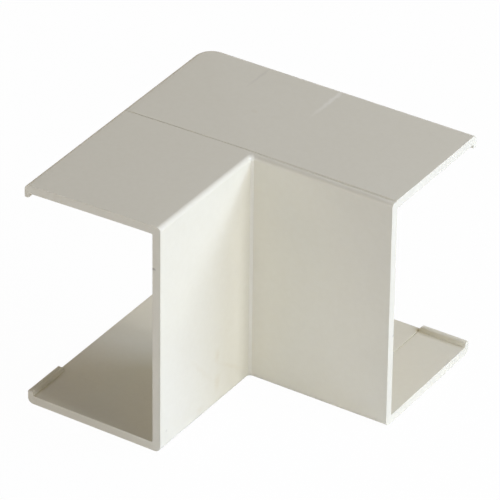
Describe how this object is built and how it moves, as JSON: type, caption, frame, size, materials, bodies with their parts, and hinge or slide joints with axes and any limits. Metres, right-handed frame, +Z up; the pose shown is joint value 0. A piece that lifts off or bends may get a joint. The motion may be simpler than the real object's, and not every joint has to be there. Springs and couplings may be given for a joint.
{
  "type": "trunking internal corner",
  "caption": "L-shaped moulded cover for an internal corner in rectangular mini trunking: two flat plates joined by two front walls, open to the walls and at both ends.",
  "frame": {"origin": "where the vertical line of the room's corner meets the plane of the cover's bottom plate", "axes": "+Z up along the room's corner line, one arm along +X and the other along -Y, front walls facing -Y and +X, open backs on the planes y = 0 and x = 0"},
  "size_m": [0.0536, 0.0536, 0.0436],
  "materials": {
    "cover_plastic": "satin"
  },
  "bodies": {
    "root": {"corner_cover": "cover_plastic"}
  },
  "joints": []
}
